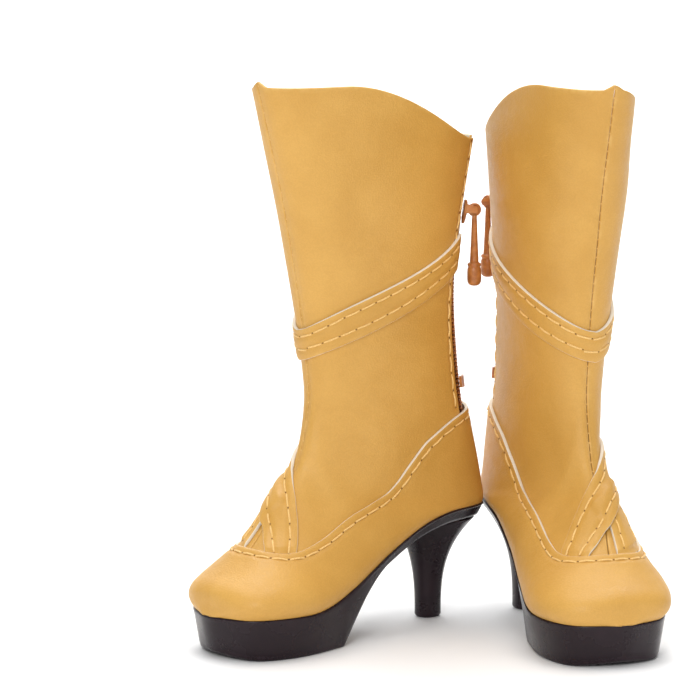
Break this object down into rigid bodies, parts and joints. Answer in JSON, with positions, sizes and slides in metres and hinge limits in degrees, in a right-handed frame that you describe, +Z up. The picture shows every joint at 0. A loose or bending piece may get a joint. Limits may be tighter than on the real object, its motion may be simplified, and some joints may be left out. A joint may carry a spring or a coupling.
{
  "type": "doll boots",
  "caption": "Pair of doll's high-heeled platform boots in tan leather, with stitched wrap straps, a back zip with a hanging pull, and dark moulded soles and heels.",
  "frame": {"origin": "middle of the pair's bounding box, on the floor that the treads stand on", "axes": "+Z up; -Y is the front, where the toes point, with the right boot on the -X side and the left boot on the +X side, heels together and toes turned out"},
  "size_m": [0.0886, 0.0648, 0.1051],
  "materials": {
    "tan_leather": "satin, fine grain",
    "dark_sole": "gloss moulded",
    "board": "matt fibre board",
    "sock_lining": "matt cloth",
    "stiffener": "matt impregnated cloth",
    "zip_tape": "woven tape and moulded teeth",
    "zip_brown": "satin"
  },
  "bodies": {
    "right_boot": {"right_platform_sole": "dark_sole", "right_heel_block": "dark_sole", "right_insole_board": "board", "right_sock_lining": "sock_lining", "right_toe_puff": "stiffener", "right_heel_counter": "stiffener", "right_vamp": "tan_leather", "right_shaft_medial": "tan_leather", "right_shaft_lateral": "tan_leather", "right_calf_strap": "tan_leather", "right_instep_strap_over": "tan_leather", "right_instep_strap_under": "tan_leather", "right_zip_tape_medial": "zip_tape", "right_zip_tape_lateral": "zip_tape", "right_zip_stop": "zip_brown"},
    "right_zip_slider_body": {"right_zip_slider": "zip_brown"},
    "right_zip_pull_body": {"right_zip_pull": "zip_brown"},
    "left_boot": {"left_platform_sole": "dark_sole", "left_heel_block": "dark_sole", "left_insole_board": "board", "left_sock_lining": "sock_lining", "left_toe_puff": "stiffener", "left_heel_counter": "stiffener", "left_vamp": "tan_leather", "left_shaft_medial": "tan_leather", "left_shaft_lateral": "tan_leather", "left_calf_strap": "tan_leather", "left_instep_strap_over": "tan_leather", "left_instep_strap_under": "tan_leather", "left_zip_tape_medial": "zip_tape", "left_zip_tape_lateral": "zip_tape", "left_zip_stop": "zip_brown"},
    "left_zip_slider_body": {"left_zip_slider": "zip_brown"},
    "left_zip_pull_body": {"left_zip_pull": "zip_brown"}
  },
  "joints": [
    {"name": "left_boot_apart", "type": "slide", "parent": "right_boot", "child": "left_boot", "axis": [1, 0, 0], "range_m": [0, 0.05]},
    {"name": "right_zip_travel", "type": "slide", "parent": "right_boot", "child": "right_zip_slider_body", "axis": [-0.0507, -0.039, -0.998], "range_m": [0, 0.016]},
    {"name": "right_pull_swing", "type": "hinge", "parent": "right_zip_slider_body", "child": "right_zip_pull_body", "pos_m": [0.00863, 0.01421, 0.07825], "axis": [0.1106, -0.9939, 0], "range_deg": [0, 8]},
    {"name": "left_zip_travel", "type": "slide", "parent": "left_boot", "child": "left_zip_slider_body", "axis": [0.0232, -0.0596, -0.998], "range_m": [0, 0.016]},
    {"name": "left_pull_swing", "type": "hinge", "parent": "left_zip_slider_body", "child": "left_zip_pull_body", "pos_m": [0.01152, 0.02588, 0.07825], "axis": [0.6081, 0.7939, 0], "range_deg": [0, 150]}
  ]
}
